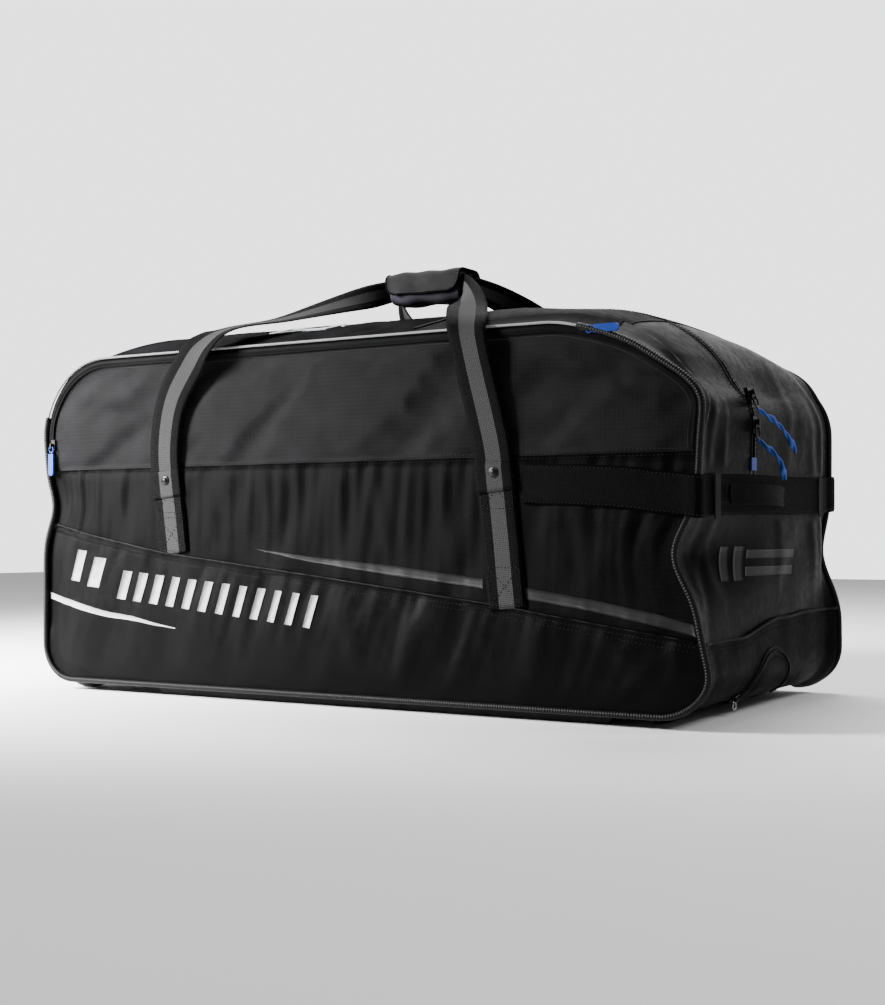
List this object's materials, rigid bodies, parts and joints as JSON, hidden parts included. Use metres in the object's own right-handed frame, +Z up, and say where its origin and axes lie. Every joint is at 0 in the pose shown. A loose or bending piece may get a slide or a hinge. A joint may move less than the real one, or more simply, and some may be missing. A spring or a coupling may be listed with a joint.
{
  "type": "wheeled hockey equipment bag",
  "caption": "Large wheeled duffel for hockey equipment, with a domed opening top, a full-length zipped front pocket, long carry straps in a padded wrap, end grips and skid rails.",
  "frame": {"origin": "centre of the bag's outline, on the ground under its wheels and skid rails", "axes": "+X along the length away from the wheels, +Y to the back, +Z up; the pocket is on the -Y side"},
  "size_m": [1.0262, 0.5436, 0.574],
  "materials": {
    "ripstop": "matte woven polyester with a ripstop grid",
    "coated_fabric": "coated polyester, semi-gloss",
    "lining": "plain lining",
    "board": "plain sheet",
    "piping": "reflective silver piping",
    "zip_tape": "woven tape with moulded coil",
    "webbing": "ribbed webbing, with a grey stripe on the carry straps",
    "wrap": "brushed felt",
    "rail_plastic": "moulded, satin",
    "housing_plastic": "moulded, satin",
    "tyre": "moulded",
    "hub_plastic": "moulded",
    "steel": "plain",
    "dark_metal": "black plated",
    "pull_plastic": "moulded, blue",
    "blue_cord": "braided cord, blue with dark flecks",
    "card_window": "clear sheet in a grey frame"
  },
  "bodies": {
    "bag": {"front_panel_upper": "ripstop", "front_panel_middle": "ripstop", "back_panel": "ripstop", "left_top_cap": "ripstop", "bottom_panel": "coated_fabric", "front_panel_lower": "coated_fabric", "right_end_panel": "coated_fabric", "right_end_guard": "coated_fabric", "left_end_panel": "coated_fabric", "left_end_guard": "coated_fabric", "right_top_cap": "coated_fabric", "end_pocket_panel": "coated_fabric", "front_pocket_wall": "lining", "base_board": "board", "front_piping": "piping", "back_piping": "piping", "front_zip_tape": "zip_tape", "right_zip_tape": "zip_tape", "left_zip_tape": "zip_tape", "end_pocket_zip": "zip_tape", "right_band": "webbing", "left_band": "webbing", "band_keepers": "webbing", "front_strap_legs": "webbing", "back_strap_legs": "webbing", "front_rail": "rail_plastic", "back_rail": "rail_plastic", "front_wheel_housing": "housing_plastic", "back_wheel_housing": "housing_plastic", "wheel_axles": "steel", "rail_screws": "steel", "strap_rivets": "dark_metal", "end_pocket_slider": "dark_metal", "zip_end_tabs": "blue_cord"},
    "front_handle": {"front_strap": "webbing", "front_wrap": "wrap"},
    "back_handle": {"back_strap": "webbing", "back_wrap": "wrap"},
    "front_top": {"front_top_panel": "ripstop", "front_top_zip": "zip_tape", "id_window": "card_window"},
    "back_top": {"back_top_panel": "ripstop", "back_top_zip": "zip_tape"},
    "front_wheel": {"front_tyre": "tyre", "front_hub": "hub_plastic"},
    "back_wheel": {"back_tyre": "tyre", "back_hub": "hub_plastic"},
    "upper_slider": {"upper_slider": "dark_metal"},
    "lower_slider": {"lower_slider": "dark_metal"},
    "upper_pull": {"upper_ring": "dark_metal", "upper_cord": "blue_cord"},
    "lower_pull": {"lower_ring": "dark_metal", "lower_cord": "blue_cord"},
    "left_pocket_slider": {"left_pocket_slider": "dark_metal"},
    "left_pocket_pull": {"left_pocket_pull": "pull_plastic"},
    "top_pocket_slider": {"top_pocket_slider": "dark_metal"},
    "top_pocket_pull": {"top_pocket_pull": "pull_plastic"},
    "end_pocket_pull": {"end_pocket_pull": "steel"},
    "right_grip": {"right_grip": "webbing"},
    "left_grip": {"left_grip": "webbing"}
  },
  "joints": [
    {"name": "front_handle_swing", "type": "hinge", "parent": "bag", "child": "front_handle", "pos_m": [0, -0.2525, 0.299], "axis": [1, 0, 0], "range_deg": [0, 150]},
    {"name": "back_handle_swing", "type": "hinge", "parent": "bag", "child": "back_handle", "pos_m": [0, 0.2525, 0.299], "axis": [-1, 0, 0], "range_deg": [0, 150]},
    {"name": "front_top_opening", "type": "hinge", "parent": "bag", "child": "front_top", "pos_m": [0, -0.243, 0.4576], "axis": [1, 0, 0], "range_deg": [0, 130]},
    {"name": "back_top_opening", "type": "hinge", "parent": "bag", "child": "back_top", "pos_m": [0, 0.243, 0.4576], "axis": [-1, 0, 0], "range_deg": [0, 130]},
    {"name": "front_wheel_spin", "type": "hinge", "parent": "bag", "child": "front_wheel", "pos_m": [-0.446, -0.2, 0.042], "axis": [0, 1, 0], "continuous": true},
    {"name": "back_wheel_spin", "type": "hinge", "parent": "bag", "child": "back_wheel", "pos_m": [-0.446, 0.2, 0.042], "axis": [0, 1, 0], "continuous": true},
    {"name": "upper_slider_travel", "type": "hinge", "parent": "bag", "child": "upper_slider", "pos_m": [0.37, -0.06, 0.346], "axis": [0, -1, 0], "range_deg": [0, 10]},
    {"name": "lower_slider_travel", "type": "slide", "parent": "bag", "child": "lower_slider", "axis": [0, 0, 1], "range_m": [-0.02, 0]},
    {"name": "upper_pull_swing", "type": "hinge", "parent": "upper_slider", "child": "upper_pull", "pos_m": [0.48113, -0.06, 0.37789], "axis": [0, -1, 0], "range_deg": [0, 90]},
    {"name": "lower_pull_swing", "type": "hinge", "parent": "lower_slider", "child": "lower_pull", "pos_m": [0.4856, -0.06, 0.342], "axis": [0, -1, 0], "range_deg": [0, 90]},
    {"name": "left_pocket_slider_travel", "type": "slide", "parent": "bag", "child": "left_pocket_slider", "axis": [0, 0, 1], "range_m": [-0.028, 0]},
    {"name": "left_pocket_pull_swing", "type": "hinge", "parent": "left_pocket_slider", "child": "left_pocket_pull", "pos_m": [-0.476, -0.2512, 0.3375], "axis": [-1, 0, 0], "range_deg": [0, 110]},
    {"name": "top_pocket_slider_travel", "type": "slide", "parent": "bag", "child": "top_pocket_slider", "axis": [1, 0, 0], "range_m": [-0.1, 0]},
    {"name": "top_pocket_pull_swing", "type": "hinge", "parent": "top_pocket_slider", "child": "top_pocket_pull", "pos_m": [0.3545, -0.2512, 0.444], "axis": [0, 0, -1], "range_deg": [0, 110]},
    {"name": "end_pocket_pull_swing", "type": "hinge", "parent": "bag", "child": "end_pocket_pull", "pos_m": [0.46292, -0.077, 0.01773], "axis": [0, -1, 0], "range_deg": [0, 80]},
    {"name": "right_grip_swing", "type": "hinge", "parent": "bag", "child": "right_grip", "pos_m": [0.4856, -0.06, 0.26], "axis": [0, -1, 0], "range_deg": [0, 30]},
    {"name": "left_grip_swing", "type": "hinge", "parent": "bag", "child": "left_grip", "pos_m": [-0.4856, -0.06, 0.287], "axis": [0, 1, 0], "range_deg": [0, 30]}
  ],
  "couplings": [
    {"joint": "front_top_opening", "follows": "front_handle_swing", "ratio": 0.8666},
    {"joint": "back_handle_swing", "follows": "front_handle_swing", "ratio": 1},
    {"joint": "back_top_opening", "follows": "front_handle_swing", "ratio": 0.8666}
  ]
}
